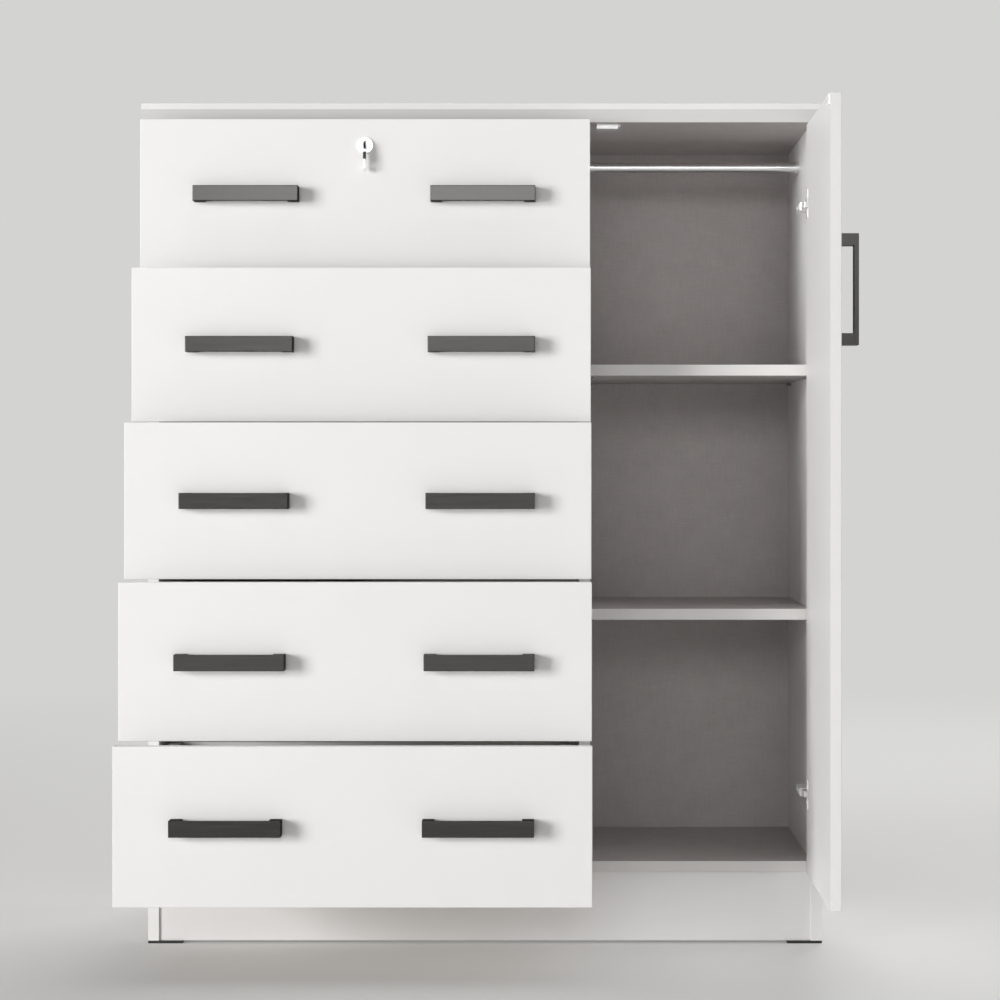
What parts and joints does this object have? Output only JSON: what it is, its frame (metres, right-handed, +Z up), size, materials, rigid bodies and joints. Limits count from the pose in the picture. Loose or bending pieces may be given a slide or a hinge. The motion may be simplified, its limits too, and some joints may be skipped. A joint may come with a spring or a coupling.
{
  "type": "chifforobe",
  "caption": "White chifforobe: a stack of drawers on ball-bearing runners beside a wardrobe bay with a hinged door, shelves and a hanging rail; bar pulls, a cam lock and a folding key.",
  "frame": {"origin": "on the floor, at the centre of the rectangle that the carcass covers, between its two sides and from the front edges of the sides to the back board", "axes": "+Z up; +Y from the fronts to the back, so the drawers open along -Y; +X to the right as seen from the front, from the drawers to the wardrobe bay"},
  "size_m": [1.0103, 0.726, 1.227],
  "materials": {
    "white_board": "white melamine-faced chipboard, satin, with edge bands",
    "lined_board": "grey linen-effect melamine faces with white front edge bands",
    "thin_board": "thin fibreboard with a grey linen-effect face",
    "pull_metal": "satin graphite lacquer on metal",
    "runner_steel": "black zinc-plated sheet steel",
    "polished_chrome": "polished chrome plate",
    "nickel_steel": "nickel-plated pressed steel",
    "white_plastic": "white moulded plastic",
    "black_plastic": "black moulded plastic"
  },
  "bodies": {
    "carcass": {"side_left": "white_board", "side_right": "white_board", "partition": "white_board", "top_panel": "white_board", "bottom_panel": "lined_board", "plinth_boards": "white_board", "corner_glides": "black_plastic", "back_panel": "thin_board", "shelves": "lined_board", "shelf_supports": "white_plastic", "hanging_rail": "polished_chrome", "rail_sockets": "polished_chrome", "magnetic_catch": "white_plastic", "slide_outer_rails": "runner_steel", "hinge_arms": "nickel_steel"},
    "hinge_links": {"hinge_links": "nickel_steel"},
    "door": {"door_panel": "white_board", "door_handle": "pull_metal", "hinge_cups": "nickel_steel", "catch_plate": "nickel_steel"},
    "drawer_1": {"drawer_1_front": "white_board", "drawer_1_sides": "white_board", "drawer_1_back": "white_board", "drawer_1_base": "thin_board", "drawer_1_handles": "pull_metal", "drawer_1_inner_rails": "runner_steel", "lock_case": "polished_chrome"},
    "drawer_1_runners": {"drawer_1_middle_rails": "runner_steel"},
    "drawer_2": {"drawer_2_front": "white_board", "drawer_2_sides": "white_board", "drawer_2_back": "white_board", "drawer_2_base": "thin_board", "drawer_2_handles": "pull_metal", "drawer_2_inner_rails": "runner_steel"},
    "drawer_2_runners": {"drawer_2_middle_rails": "runner_steel"},
    "drawer_3": {"drawer_3_front": "white_board", "drawer_3_sides": "white_board", "drawer_3_back": "white_board", "drawer_3_base": "thin_board", "drawer_3_handles": "pull_metal", "drawer_3_inner_rails": "runner_steel"},
    "drawer_3_runners": {"drawer_3_middle_rails": "runner_steel"},
    "drawer_4": {"drawer_4_front": "white_board", "drawer_4_sides": "white_board", "drawer_4_back": "white_board", "drawer_4_base": "thin_board", "drawer_4_handles": "pull_metal", "drawer_4_inner_rails": "runner_steel"},
    "drawer_4_runners": {"drawer_4_middle_rails": "runner_steel"},
    "drawer_5": {"drawer_5_front": "white_board", "drawer_5_sides": "white_board", "drawer_5_back": "white_board", "drawer_5_base": "thin_board", "drawer_5_handles": "pull_metal", "drawer_5_inner_rails": "runner_steel"},
    "drawer_5_runners": {"drawer_5_middle_rails": "runner_steel"},
    "lock_plug": {"lock_plug": "polished_chrome", "lock_cam": "nickel_steel", "key_blade": "polished_chrome"},
    "key_bow": {"key_bow": "black_plastic"}
  },
  "joints": [
    {"name": "hinge_links_swing", "type": "hinge", "parent": "carcass", "child": "hinge_links", "pos_m": [0.464, -0.1809, 0.2205], "axis": [0, 0, -1], "range_deg": [-29.46, 4.92]},
    {"name": "door_swing", "type": "hinge", "parent": "hinge_links", "child": "door", "pos_m": [0.47481, -0.20549, 0.2205], "axis": [0, 0, 1], "range_deg": [-119.45, 19.91]},
    {"name": "drawer_1_slide", "type": "slide", "parent": "carcass", "child": "drawer_1", "axis": [0, -1, 0], "range_m": [-0.058, 0.282]},
    {"name": "drawer_1_runners_slide", "type": "slide", "parent": "carcass", "child": "drawer_1_runners", "axis": [0, -1, 0], "range_m": [-0.0291, 0.1411]},
    {"name": "drawer_2_slide", "type": "slide", "parent": "carcass", "child": "drawer_2", "axis": [0, -1, 0], "range_m": [-0.135, 0.205]},
    {"name": "drawer_2_runners_slide", "type": "slide", "parent": "carcass", "child": "drawer_2_runners", "axis": [0, -1, 0], "range_m": [-0.0676, 0.1026]},
    {"name": "drawer_3_slide", "type": "slide", "parent": "carcass", "child": "drawer_3", "axis": [0, -1, 0], "range_m": [-0.199, 0.141]},
    {"name": "drawer_3_runners_slide", "type": "slide", "parent": "carcass", "child": "drawer_3_runners", "axis": [0, -1, 0], "range_m": [-0.0996, 0.0706]},
    {"name": "drawer_4_slide", "type": "slide", "parent": "carcass", "child": "drawer_4", "axis": [0, -1, 0], "range_m": [-0.249, 0.091]},
    {"name": "drawer_4_runners_slide", "type": "slide", "parent": "carcass", "child": "drawer_4_runners", "axis": [0, -1, 0], "range_m": [-0.1246, 0.0456]},
    {"name": "drawer_5_slide", "type": "slide", "parent": "carcass", "child": "drawer_5", "axis": [0, -1, 0], "range_m": [-0.297, 0.043]},
    {"name": "drawer_5_runners_slide", "type": "slide", "parent": "carcass", "child": "drawer_5_runners", "axis": [0, -1, 0], "range_m": [-0.1486, 0.0216]},
    {"name": "lock_turn", "type": "hinge", "parent": "drawer_1", "child": "lock_plug", "pos_m": [-0.17, -0.265, 1.1585], "axis": [0, 1, 0], "range_deg": [0, 90]},
    {"name": "key_fold", "type": "hinge", "parent": "lock_plug", "child": "key_bow", "pos_m": [-0.17, -0.277, 1.1585], "axis": [-1, 0, 0], "range_deg": [0, 90]}
  ],
  "couplings": [
    {"joint": "hinge_links_swing", "follows": "door_swing", "ratio": 0.24655},
    {"joint": "drawer_1_runners_slide", "follows": "drawer_1_slide", "ratio": 0.5},
    {"joint": "drawer_2_runners_slide", "follows": "drawer_2_slide", "ratio": 0.5},
    {"joint": "drawer_3_runners_slide", "follows": "drawer_3_slide", "ratio": 0.5},
    {"joint": "drawer_4_runners_slide", "follows": "drawer_4_slide", "ratio": 0.5},
    {"joint": "drawer_5_runners_slide", "follows": "drawer_5_slide", "ratio": 0.5}
  ]
}
